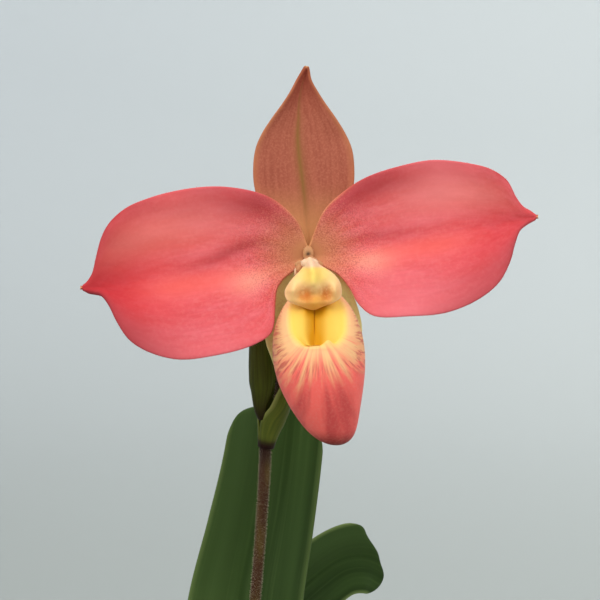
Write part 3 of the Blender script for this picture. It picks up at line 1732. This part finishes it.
@dataclass
class Tepal:
    """A petal or sepal, from its two edges and its midline.

    Each row of the outline is edge x, z, midline x, z and edge x, z.
    """

    node: str
    name: str
    slot: str
    relief: Relief
    finish: Finish
    outline: list[tuple[float, ...]]
    rows: int = 76
    columns: int = 40
    thickness: float = 0.8
    down: Down = Down(0.35, 0.5, 0.028)

    def __post_init__(self) -> None:
        """Make the splines of the edges and the midline."""
        self.lines = [Path([(row[k], 0, row[k + 1]) for row in self.outline]) for k in (0, 2, 4)]

    def surface(self, u: float, v: float) -> Vector:
        """Return the middle surface.

        Args:
            u: How far along, 0 at the foot and 1 at the tip.
            v: How far across, 1 at the first edge and -1 at the second.

        Returns:
            The point in the plant's frame.
        """
        edge, middle, other = self.lines
        out = abs(v)
        at = middle.point(u).lerp((edge if v > 0 else other).point(u), out)
        at.y = -self.relief.towards(u, out)
        grown = noise.noise(Vector((at.x * 0.16, at.z * 0.16, 7.0 if v > 0 else 9.0)))
        at.y += 0.45 * grown * smoothstep(out, 0.15, 0.9) * smoothstep(u, 0.05, 0.2)
        if self.relief is Relief.PETAL:
            vein = noise.noise(Vector((at.x * 0.35, at.z * 0.9, 3.0)))
            at.y += 0.1 * vein * smoothstep(u, 0.05, 0.25)
        else:
            at.y -= 0.35 * bump(v, 0, 0.05) * (1 - 0.7 * u)
        return TO_PLANT @ at

    def petal_marks(self, u: float, v: float, at: Vector) -> tuple[float, ...]:
        """Return the marks of PETAL_MARKS.

        Args:
            u: How far along, 0 at the foot and 1 at the tip.
            v: How far across, 1 at the first edge and -1 at the second.
            at: The point there, in the plant's frame.

        Returns:
            One number for each mark.
        """
        local = TO_FLOWER @ at
        r = math.hypot(local.x, local.z)
        right = local.x > 0
        out, far = abs(v), abs(local.x) / PETAL_REACH
        bright = bump(v, -0.14, 0.15) * smoothstep(far, 0.15, 0.4) * (1 - smoothstep(far, 0.55, 0.85)) * 0.65
        bright += 0.15 * smoothstep(v, 0.05, 0.4) * bump(far, 0.5, 0.22)
        start = 1 - smoothstep(abs(local.x), 8, 27)
        crease = 0.1 + (0.12 if right else 0.3) * start
        fold = bump(v, crease, 0.09) * bump(far, 0.3, 0.2) * (0.4 if right else 0.7)
        deep = bump(v, 0.84, 0.2) * bump(u, 0.28, 0.13) * 0.75 + fold + smoothstep(out, 0.92, 0.99) * 0.12
        deep += smoothstep(far, 0.62, 1) * (0.25 if right else 0.65)
        deep += smoothstep(-v, 0.4, 0.9) * bump(u, 0.18, 0.09) * 0.25
        deep += smoothstep(v, 0.3, 0.9) * bump(far, 0.72, 0.2) * 0.12
        scarlet = smoothstep(far, 0.3, 0.9) * (0.5 if right else 0.75)
        scarlet *= 1 - (0.45 if v > 0 else 0.8) * smoothstep(out, 0.35, 0.95)
        lit = smoothstep(v, 0.0, 0.6) * smoothstep(far, 0.3, 0.6) * (1 - smoothstep(far, 0.55, 0.85)) * 0.6
        lit += smoothstep(-v, 0.2, 0.6) * bump(far, 0.4, 0.25) * 0.3
        lit = lit if right else smoothstep(v, 0.3, 0.8) * bump(far, 0.45, 0.25) * 0.25
        lit += smoothstep(-v, 0.65, 0.95) * bump(far, 0.5, 0.28) * 0.3
        dusk = smoothstep(-v, 0.1, 0.7) * smoothstep(far, 0.1, 0.35) * 0.18
        dusk += smoothstep(-v, 0.3, 1) * smoothstep(far, 0.4, 0.8) * (0.5 if right else 0.7)
        blush = bump(v, -0.24, 0.17) * bump(r, 14.5, 5) * 0.8
        blush = max(blush, bump(v, 0.55, 0.3) * bump(u, 0.5, 0.2) * 0.3)
        tan = 0.85 * (1 - smoothstep(r, 3, 15)) + 0.15 * (1 - smoothstep(r, 2, 5))
        tan = max(tan, (1 - smoothstep(u, 0.02, 0.3)) * smoothstep(out, 0.92, 1) * 0.8)
        stipple = smoothstep(r, 2.5, 6) * (1 - smoothstep(r, 9, 22)) * 0.42
        tip = smoothstep(u, 0.975, 1) * 0.9
        tip = max(tip, smoothstep(v, 0.95, 0.99) * (1 - smoothstep(u, 0.14, 0.3)) * 0.3)
        edge = smoothstep(out, 0.9, 1)
        return (u, v, bright, min(1, deep), scarlet, lit, min(1, dusk), blush, tan, stipple, tip,
                1 - 0.45 * edge, 0.05 + 10 * smoothstep(out, 0.96, 1))

    def sepal_marks(self, u: float, v: float, at: Vector) -> tuple[float, ...]:
        """Mark a sepal.

        Args:
            u: How far along, 0 at the foot and 1 at the tip.
            v: How far across, -1 to 1.
            at: The point there.

        Returns:
            One number for each of SEPAL_MARKS.
        """
        out = abs(v)
        rim = max(smoothstep(out, 0.86, 0.99), smoothstep(u, 0.96, 1)) * 0.8
        foot = 1 - smoothstep(u, 0.03, 0.27 if self.relief is Relief.DORSAL else 0.5)
        foot += smoothstep(u, 0.972, 0.992)
        midrib = (bump(v, 0, 0.05) * 0.9 + bump(v, 0, 0.16) * 0.3) * (1 - 0.7 * smoothstep(u, 0.2, 0.9))
        midrib *= smoothstep(u, 0, 0.3)
        red = smoothstep(u, 0.5, 0.92) * (1 - smoothstep(u, 0.94, 0.99)) * 0.45
        down = 0.05 + 1.2 * smoothstep(out, 0.9, 1)
        return u, v, rim, foot * 0.85, min(1, midrib), red, 1 - 0.4 * rim, down

    def build(self) -> bpy.types.Object:
        """Lay the blade, thicken it, grow its down and dress it.

        Returns:
            The petal or sepal.
        """
        names, marks = SEPAL_MARKS, self.sepal_marks
        if self.relief is Relief.PETAL:
            names, marks = PETAL_MARKS, self.petal_marks
        bm = settled(sheet(self.rows, self.columns, self.surface, names, marks), self.thickness)
        return make_piece(self.name, self.down.grow(bm, names, names[:-2]), self.finish, self.slot, self.node)


@dataclass
class Pouch:
    """The lip: a slipper whose level cuts are ovals, with a round mouth high on its front.

    Its rim rolls in, and both sides of the mouth fold down to meet in a slit.
    """

    middle: float = -26
    half_height: float = 18.9
    width: list[float] = field(default_factory=lambda: [10.5, 9.7, 9.7, 10.2, 10.7, 11.1, 11.4, 11.5, 11.4])
    x: list[float] = field(default_factory=lambda: [6.6, 5.1, 3.9, 3.1, 2.65, 2.4, 2.2, 2.1, 1.9])
    depth: list[float] = field(default_factory=lambda: [8.4, 8.4, 8.8, 9.3, 9.6, 9.6, 9.3, 8.8, 8])
    towards: list[float] = field(default_factory=lambda: [5.6, 6.4, 7, 7.3, 7.3, 6.9, 6.2, 5.2, 4.2])
    mouth_rise: float = 45
    mouth_wide: float = 41
    mouth_high: float = 33
    lip_low: float = 0.7
    lip_side: float = 2.0
    girth: float = 30
    slit_x: float = 1.45
    slit_low: float = -21.0
    slit_high: float = -8.5
    slit_depth: float = 1.5
    swell: float = 0.6
    oval: float = 2.7
    crowding: float = 0.85
    fold_low: Pair = (-20.2, -16.4)
    fold_slope: float = 0.754
    fold_proud: Pair = (1.7, 0.2)
    tooth: float = 1.5
    tooth_at: float = 5.12
    heart: Pair = (2.0, -17.0)
    rim_from: float = 0.6
    fold_from: float = 0.68

    def __post_init__(self) -> None:
        """Make the splines of the level cuts."""
        self.cuts = [through(values) for values in (self.width, self.x, self.depth, self.towards)]

    def skin(self, a: float, t: float, inset: float) -> Vector:
        """Return a point of the wall.

        Args:
            a: The angle round the mouth.
            t: How far from the back of the lip, 0, to the mouth's rim, 1.
            inset: How far inside the outer skin.

        Returns:
            The point in the flower's frame.
        """
        rise, wide, high = (math.radians(d) for d in (self.mouth_rise, self.mouth_wide, self.mouth_high))
        axis = Vector((0, -math.cos(rise), math.sin(rise)))
        up = Vector((0, math.sin(rise), math.cos(rise)))
        power = self.oval
        rim = (abs(math.cos(a) / wide) ** power + abs(math.sin(a) / high) ** power) ** (-1 / power)
        b = lerp(math.pi, rim, t)
        way = axis * math.cos(b) + Vector((1, 0, 0)) * (math.sin(b) * math.cos(a)) + up * (
            math.sin(b) * math.sin(a))
        width, x, depth, towards = (cut((way.z + 1) / 2) for cut in self.cuts)
        return Vector((x + (width - inset) * way.x, -towards + (depth - inset) * way.y,
                       self.middle + (self.half_height - inset) * way.z))

    def wall_share(self, s: float) -> float:
        """Return how far along the wall s is, with its rings closer at the back."""
        return lerp(0.01, 1, clamp(s / self.rim_from) ** self.crowding)

    def surface(self, s: float, a: float) -> Vector:
        """Return the lip's skin.

        Args:
            s: How far from its back, 0, over the rim to the slit, 1.
            a: The angle round the mouth.

        Returns:
            The point in the plant's frame.
        """
        if s <= self.rim_from:
            t = self.wall_share(s)
            at = self.skin(a, t, 0)
            rib = 0.12 * noise.noise(Vector((7 * math.cos(a), 7 * math.sin(a), 2 * t)))
            at.y += rib * smoothstep(t, 0.3, 0.6) + 0.25 * noise.noise(at * 0.12)
            return TO_PLANT @ at
        side = smoothstep(abs(math.cos(a)), 0.5, 0.95)
        radius = lerp(self.lip_low, self.lip_side, side)
        reach = radius / self.girth
        turn = math.radians(lerp(88, 42, side))
        roll = clamp((s - self.rim_from) / (self.fold_from - self.rim_from)) * turn
        start = self.skin(a, 1 + reach * math.sin(roll), radius * (1 - math.cos(roll)))
        tooth = Vector((0, 0, self.tooth)) * (bump(a, self.tooth_at, 0.2) * bump(s, self.fold_from, 0.045))
        if s <= self.fold_from:
            return TO_PLANT @ (start + tooth)
        q = (s - self.fold_from) / (1 - self.fold_from)
        z = clamp(start.z, self.slit_low, self.slit_high)
        upper = smoothstep(z, self.slit_low, self.slit_low + 7)
        front = self.fold_low[1] + (z - self.fold_low[0]) * self.fold_slope + lerp(*self.fold_proud, upper)
        at = start.lerp(Vector((self.slit_x, 0, z)), q)
        at.y = lerp(start.y, front, smoothstep(q, 0, lerp(0.3, 0.7, side)))
        at.y -= self.swell * math.sin(math.pi * clamp((q - 0.05) / 0.95))
        at.y += self.slit_depth * smoothstep(q, 0.3, 1) ** 1.5 + 0.15 * smoothstep(q, 0.94, 1)
        return TO_PLANT @ (at + tooth)

    def marks(self, s: float, a: float, at: Vector) -> tuple[float, ...]:
        """Mark the lip.

        Args:
            s: How far from its back, 0, over the rim to the slit, 1.
            a: The angle round the mouth.
            at: The point there.

        Returns:
            Swing_x, swing_z, reach, fall, veined, tan, toe, inside, slit and down.
        """
        local = TO_FLOWER @ at
        t = min(1, self.wall_share(s))
        q = clamp((s - self.fold_from) / (1 - self.fold_from))
        inside = smoothstep(s, self.rim_from - 0.015, self.fold_from + 0.04)
        low = 1 - smoothstep(local.z, self.slit_low - 1, self.slit_low + 4)
        slit = smoothstep(q, 0.2, 1) + low * smoothstep(q, 0, 0.4) * 0.35
        slit = clamp(slit + smoothstep(local.z, -15.5, -12.5) * smoothstep(q, 0.1, 0.7) * 0.4)
        across, upright = local.x - self.heart[0], local.z - self.heart[1]
        toe = smoothstep(-local.z, 40.5, 45.5) + 0.35 * smoothstep(-across, 7, 10.5)
        far = math.hypot(across, upright) + 0.01
        fall = (-19.5 - local.z) / 11 + 0.01 * across
        fall = clamp(max(fall, (0.66 - t) / 0.3), 0, 1.4)
        veined = smoothstep(1 - t, 0.03, 0.12) * (1 - smoothstep(fall, 0.5, 1))
        tan = smoothstep(1 - t, 0.04, 0.2) * smoothstep(local.z, -25, -16) * 0.8
        down = (1 - inside) * 0.8
        return across / far, upright / far, 1 - t, fall, veined, tan, min(1, toe), inside, slit, down

    def build(self) -> bpy.types.Object:
        """Loft the lip, grow its down and dress it.

        Returns:
            The lip.
        """
        names = ("swing_x", "swing_z", "reach", "fall", "veined", "tan", "toe", "inside", "slit", "down")
        bm = settled(tube(92, 96, self.surface, names, self.marks))
        bm = Down(1.1, 0.42, 0.022, seed=8).grow(bm, names, names[:-1])
        return make_piece("slipper_lip", bm, PouchFinish(), "pouch", "lip_pouch")


@dataclass
class Column:
    """The column: a shield in front of the pouch's mouth, on a short stalk with two anthers."""

    outline: list[Pair] = field(default_factory=lambda: [
        (0.2, -0.7), (2.8, -2.6), (4.6, -3.7), (6.2, -4.9), (7.4, -6.6), (7.8, -8.7), (7.5, -10.2),
        (6, -11.3), (3.6, -12.2), (1.2, -13.1), (-1.8, -12.2), (-4.8, -10.9), (-5.5, -9.1), (-5.2, -8),
        (-3.9, -6), (-2.2, -4.2), (-1.2, -3)])
    centre: Pair = (1.2, -7.8)
    crown: list[Pair] = field(default_factory=lambda: [
        (0.04, 9.4), (0.6, 9.4), (0.93, 9.7), (1, 10.2), (0.94, 10.8), (0.74, 11.5), (0.42, 12.1),
        (0.04, 12.3)])
    stalk: list[Triple] = field(default_factory=lambda: [
        (0.2, -1.3, -0.9), (0.5, -3.6, -2.2), (0.9, -6.8, -4.2), (1.1, -9.9, -6.4)])
    stalk_radius: Pair = (1.2, 2.3)
    pit: Pair = (0.06, 0.2)

    def __post_init__(self) -> None:
        """Make the splines of the shield."""
        self.edge = Path([(x, 0, z) for x, z in self.outline], closed=True)
        self.rise = Path([(size, towards, 0) for size, towards in self.crown])

    def surface(self, t: float, angle: float) -> Vector:
        """Return the shield's skin.

        Args:
            t: How far from the middle of its back, 0, over its edge to the middle of its front, 1.
            angle: The angle round it.

        Returns:
            The point in the plant's frame.
        """
        size, towards, _ = self.rise.point(t)
        at = Vector((self.centre[0], 0, self.centre[1])).lerp(self.edge.point(angle / TURN), size)
        front = smoothstep(t, 0.5, 0.8)
        ridge = 1.7 * bump(at.x, 1.2, 1.5) * smoothstep(at.z, -10, -6.5)
        lobes = 1.9 * (bump(at.x, -3.8, 1.3) + bump(at.x, 6.5, 1.3)) * bump(at.z, -8.6, 1.9)
        dents = 1.1 * (bump(at.x, -1.0, 1.2) + bump(at.x, 4.4, 1.1)) * bump(at.z, -9.2, 2.1)
        lip = 0.8 * bump(at.x, 1.3, 2.2) * bump(at.z, -11.8, 1)
        grown = 0.12 * noise.noise(at * 0.8)
        forward = 1.2 * smoothstep(-at.z, 9.2, 11.5)
        at.y = -(towards + forward + front * (ridge + lobes - dents + lip + grown))
        return TO_PLANT @ at

    def marks(self, t: float, angle: float, at: Vector) -> tuple[float, ...]:
        """Mark the shield.

        Args:
            t: How far along, 0 to 1.
            angle: The angle round it.
            at: The point there.

        Returns:
            Ridge, low, blotch, hood, flesh, pit and down.
        """
        local = TO_FLOWER @ at
        x, z = local.x, local.z
        ridge = bump(x, 1.2, lerp(1.0, 3.6, smoothstep(z, -10.5, -5))) * (1 - smoothstep(-z, 5.6, 8.6))
        low = bump(x, 1.6, 5.2) * smoothstep(-z, 7.2, 10.6)
        blotch = max(bump(x, -0.4, 1.7) * bump(z, -9.8, 1.9), bump(x, 4.1, 1.5) * bump(z, -9.5, 2.1)) * 0.9
        lobe = bump(t, 0.47, 0.07) * smoothstep(abs(x - 1.4), 2.5, 4.5)
        hood = max(smoothstep(z, -3.6, -2.8), 0.55 * lobe)
        return ridge, low * 0.85, blotch, hood, 0.0, 0.0, smoothstep(z, -3.6, -2.8)

    def round_stalk(self, t: float, angle: float) -> float:
        """Return the stalk's radius, thin where it comes out between the petals."""
        return lerp(*self.stalk_radius, smoothstep(t, 0, 0.5))

    def flesh_marks(self, t: float, angle: float, at: Vector) -> tuple[float, ...]:
        """Return the marks of bare flesh, dark in the pit over the hood."""
        pit = bump((at.xz - Vector(self.pit)).length, 0, 0.55)
        return 0.0, 0.0, 0.0, 0.0, 1.0, pit, 0.15

    def anther_marks(self, t: float, angle: float, at: Vector) -> tuple[float, ...]:
        """Return the marks of an anther."""
        return 0.2, 0.2, 0.0, 0.0, 0.0, 0.0, 0.0

    def downy_marks(self, t: float, angle: float, at: Vector) -> tuple[float, ...]:
        """Return the marks of the downy hood."""
        return 0.0, 0.0, 0.0, 1.0, 0.0, 0.0, 1.0

    def trimmings(self, names: Names) -> list[BMesh]:
        """Make the stalk, the anthers, the hood, the curl beside it and the flesh round the foot.

        Args:
            names: Names of the marks.

        Returns:
            Their meshes.
        """
        made = [tube(16, 24, rod(Path(self.stalk), self.round_stalk), names, self.flesh_marks)]
        for centre, halves, wide, high, marks in (
                ((-1.6, -5.6, -4.6), (1.5, 1.3, 1.2), 24, 16, self.anther_marks),
                ((3.4, -5.6, -4.6), (1.5, 1.3, 1.2), 24, 16, self.anther_marks),
                ((0.35, -10.2, -2.2), (2.1, 1.0, 1.2), 32, 20, self.downy_marks),
                ((-3.0, -9.2, -4.2), (0.22, 0.5, 0.95), 20, 14, self.downy_marks),
                ((0.06, -1.35, 0.3), (1.3, 0.5, 1.9), 40, 28, self.flesh_marks),
                ((0.2, -2.1, -2.3), (3.4, 0.6, 1.3), 40, 28, self.flesh_marks),
                ((-2.1, -7.5, -3.6), (0.9, 1.2, 1.2), 24, 16, self.flesh_marks)):
            made.append(mark_all(ball(centre, halves, wide, high), names, marks))
        for bm in made:
            bmesh.ops.transform(bm, matrix=TO_PLANT, verts=bm.verts)
        return made

    def build(self) -> bpy.types.Object:
        """Loft the shield, its stalk and anthers, grow the hood's down and dress them.

        Returns:
            The column.
        """
        names = ("ridge", "low", "blotch", "hood", "flesh", "pit", "down")
        shield = tube(40, 72, self.surface, names, self.marks)
        bm = settled(joined([shield, *self.trimmings(names)], names))
        bm = Down(9, 0.35, 0.024, seed=12).grow(bm, names, names[:-1])
        return make_piece("staminode_column", bm, ShieldFinish(), "column", "column")


@dataclass
class Bloom:
    """The flower: two sepals, two petals, the lip and the column."""

    def tepals(self) -> list[Tepal]:
        """List the sepals and petals, with the CAD's own outlines.

        Returns:
            The sepals and petals, not yet built.
        """
        pale = SepalFinish(name="pale_sepal", flesh="#F2F09C", vein="#D6D27C", rim="#F0E89C",
                           midrib="#D0CA78", foot="#DCD88C", length=38, width=12)
        dorsal = [
            (-2.2, 1.7, 0, 1.7, 2.2, 1.7), (-6, 6.6, -0.2, 6.4, 5.5, 6.6),
            (-11, 11.2, -0.6, 11.2, 9.6, 11.2), (-12.9, 16.3, -1.1, 16.3, 11, 16.3),
            (-13.2, 21.5, -1.8, 21.5, 11.2, 21.5), (-12.6, 25.8, -2.3, 25.8, 10.6, 25.8),
            (-11, 29.5, -2.5, 29.5, 9, 29.5), (-8.7, 33, -2.3, 33, 6.8, 33),
            (-6.2, 36.3, -2.2, 36.3, 4.4, 36.3), (-4.1, 39.4, -1.8, 39.4, 2.3, 39.4),
            (-2.6, 42.1, -1.2, 42.1, 0.7, 42.1), (-1.5, 43.8, -0.65, 43.8, 0.3, 43.8),
            (-0.95, 44.6, -0.45, 44.6, 0.1, 44.6), (-0.45, 45.05, -0.3, 45.1, -0.15, 45.05)]
        synsepal = [
            (-3.5, -2.9, 0.5, -2.9, 4.2, -2.9), (-6.2, -5.5, 1.6, -5.5, 8.6, -5.5),
            (-8, -8.8, 1.8, -8.8, 10.6, -8.8), (-9.2, -12.4, 1.8, -12.4, 12, -12.4),
            (-10.2, -16.7, 1.6, -16.7, 13, -16.7), (-10.2, -20.8, 1.7, -20.8, 13, -20.8),
            (-9, -24.4, 2, -24.4, 12.6, -24.4), (-6.9, -29.9, 2.4, -29.9, 11.4, -29.9),
            (-4.3, -34.7, 2.8, -34.7, 9.5, -34.7), (-0.8, -38.3, 3.3, -38.3, 7.4, -38.3),
            (2.6, -40.6, 3.5, -40.8, 4.4, -40.6)]
        left = [
            (-0.15, 2.1, -0.5, -0.2, -1.6, -2.6), (-1.3, 5.5, -4.5, -1.7, -5.8, -5.7),
            (-2.4, 7.8, -7.6, -2, -7.4, -8.4), (-4.8, 10.5, -11.2, -2.4, -7.8, -12.7),
            (-8.6, 13.3, -15.8, -2.7, -8.5, -18.4), (-13.9, 15.1, -20.8, -3.3, -13.4, -21.6),
            (-21.4, 16, -26.5, -4.2, -22.2, -23.9), (-29.9, 15.2, -33, -5.1, -30.4, -24.8),
            (-37.1, 13.4, -38.5, -5.9, -37.8, -22.9), (-43, 11, -43, -6.6, -42.3, -20.1),
            (-46.8, 7.9, -46.4, -7.1, -45.2, -16), (-49, 4.4, -48.6, -7.4, -47.2, -12),
            (-50.2, 0.6, -50.4, -7.6, -49, -9.8), (-51.3, -3.9, -52, -7.8, -50.9, -9.3),
            (-52.7, -6.2, -53.1, -7.8, -52.5, -9), (-53.8, -7.3, -53.9, -7.75, -53.8, -8.25),
            (-54.5, -7.65, -54.6, -7.75, -54.5, -7.85)]
        right = [
            (0.35, 2.1, 0.5, -0.1, 1.7, -2.2), (1.6, 5.9, 5.3, -0.1, 6.9, -4.5),
            (3.8, 10.6, 9.3, 0.7, 9.9, -8.1), (7.6, 14.3, 14.1, 1.6, 11.7, -11.5),
            (13.1, 17.9, 19.6, 2.6, 15.3, -14.5), (21, 20.6, 25.6, 3.8, 23.9, -14.6),
            (29.3, 22.2, 31.5, 4.9, 32.4, -13.8), (38.1, 21.4, 37.8, 6, 40, -10.7),
            (43.5, 20, 42.8, 6.8, 45.2, -6.5), (47.2, 17.7, 46.8, 7.5, 47.9, -1.7),
            (49.3, 14.1, 49.7, 8, 49.1, 2.6), (51.4, 11.6, 51.9, 8.4, 50.2, 5.6),
            (53.3, 10.6, 53.3, 8.8, 52.1, 7.3), (54.4, 9.65, 54.5, 9.15, 54.3, 8.6),
            (55.1, 9.35, 55.2, 9.25, 55.1, 9.15)]
        return [
            Tepal("dorsal_sepal", "upper_sepal", "sepal", Relief.DORSAL, SepalFinish(), dorsal, 64, 28),
            Tepal("synsepal", "lower_sepal", "synsepal", Relief.SYNSEPAL, pale, synsepal, 56, 28),
            Tepal("petal_left", "left_petal", "petal", Relief.PETAL, PetalFinish(), left),
            Tepal("petal_right", "right_petal", "petal", Relief.PETAL, PetalFinish(), right),
        ]

    def build(self) -> list[bpy.types.Object]:
        """Build the flower's pieces."""
        return [*(tepal.build() for tepal in self.tepals()), Pouch().build(), Column().build()]


# The studio


@dataclass
class Studio:
    """A seamless pale sweep, soft lights and the camera. Its lengths are metres."""

    radius: float = 3.0
    bend: float = 1.6
    wall: float = 2.6
    high: tuple[str, str] = ("#DADFE2", "#EDF1F1")
    low: tuple[str, str] = ("#8F9491", "#B6BBB8")
    aim: Triple = (0.01, 0.0, 0.3)
    lamps: dict[str, tuple] = field(default_factory=lambda: {
        "window": ((-0.7, -1.0, 1.7), 1.2, 17, "#FFFDF8"),
        "front": ((0.5, -1.6, 0.85), 1.0, 5.2, "#F8FBFF"),
        "back": ((0.3, 1.3, 1.6), 1.2, 6, "#FFFFFF"),
    })
    room: str = "#F8FAFB"
    room_strength: float = 1.02
    camera_at: Triple = (0.0121, -0.351646, 0.343933)
    camera_fall: float = 5
    lens: float = 85.36
    sensor: float = 36

    def paper(self) -> bpy.types.Material:
        """Make the matt paper, darker near the object and towards one side.

        Returns:
            Its material.
        """
        made = bpy.data.materials.new("pale_paper")
        made.use_nodes = True
        tree = made.node_tree
        coat = Coat(tree)
        place = add(tree, "TexCoord", out="Object")
        away = add(tree, "VectorMath", {0: place}, "Value", operation="LENGTH")
        side = coat.strength((add(tree, "SeparateXYZ", {0: place}), -1.2, 1.2))
        low, high = coat.blend(*self.low, side), coat.blend(*self.high, side)
        shader = tree.nodes["Principled BSDF"]
        tree.links.new(coat.blend(low, high, (away, 0.4, 3.4)), shader.inputs["Base Color"])
        shader.inputs["Roughness"].default_value = 0.95
        shader.inputs["Specular IOR Level"].default_value = 0.1
        return made

    def sweep(self) -> None:
        """Make the floor that curves up into a wall all round."""
        flat, bend, steps = self.radius - self.bend, self.bend, 24
        outline = [(0, 0), (flat, 0)]
        for k in range(1, steps + 1):
            turn = k * math.pi / (2 * steps)
            outline.append((flat + bend * math.sin(turn), bend - bend * math.cos(turn)))
        bm, _, _ = drawn([*outline, (self.radius, self.wall)])
        mesh = meshed("sweep", spun(bm, 96, 1e-5))
        mesh.shade_smooth()
        mesh.materials.append(self.paper())
        placed("sweep", mesh)

    def light(self, name: str, at: Triple, size: float, watts: float, colour: str) -> None:
        """Hang a soft square light that faces the flower.

        Args:
            name: Its name.
            at: Where it hangs.
            size: Its side.
            watts: Its power.
            colour: Its hex colour.
        """
        lamp = bpy.data.lights.new(name, "AREA")
        lamp.size, lamp.energy, lamp.color = size, watts, linear(colour)[:3]
        obj = placed(name, lamp)
        obj.location = at
        obj.rotation_euler = (Vector(self.aim) - Vector(at)).to_track_quat("-Z", "Y").to_euler()

    def camera(self) -> None:
        """Stand the camera at the photograph's angle."""
        lens = bpy.data.cameras.new("camera")
        lens.lens, lens.sensor_width, lens.clip_start, lens.clip_end = self.lens, self.sensor, 0.01, 20
        camera = placed("camera", lens)
        camera.location = self.camera_at
        camera.rotation_euler = (math.radians(90 - self.camera_fall), 0, 0)
        bpy.context.scene.camera = camera

    def build(self) -> None:
        """Set up the sweep, the lights, the world and the camera."""
        self.sweep()
        for name, lamp in self.lamps.items():
            self.light(name, *lamp)
        world = bpy.data.worlds.new("room")
        world.use_nodes = True
        background = world.node_tree.nodes["Background"]
        background.inputs["Color"].default_value = linear(self.room)
        background.inputs["Strength"].default_value = self.room_strength
        bpy.context.scene.world = world
        bpy.context.scene.view_settings.view_transform = "Standard"
        self.camera()


def main() -> None:
    """Build the studio and the orchid, and note the sizes before and after."""
    logging.basicConfig(level=logging.INFO, format="%(message)s")
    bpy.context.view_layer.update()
    Studio().build()
    pot = ClayPot()
    made = [pot.build(), BarkMix(pot, [OLD_FAN, YOUNG_FAN]).build(), Rootstock().build()]
    made += Foliage().build()
    made += Stem().build()
    made += Bloom().build()
    LOG.info("%d pieces", len(made))


if __name__ == "__main__":
    main()
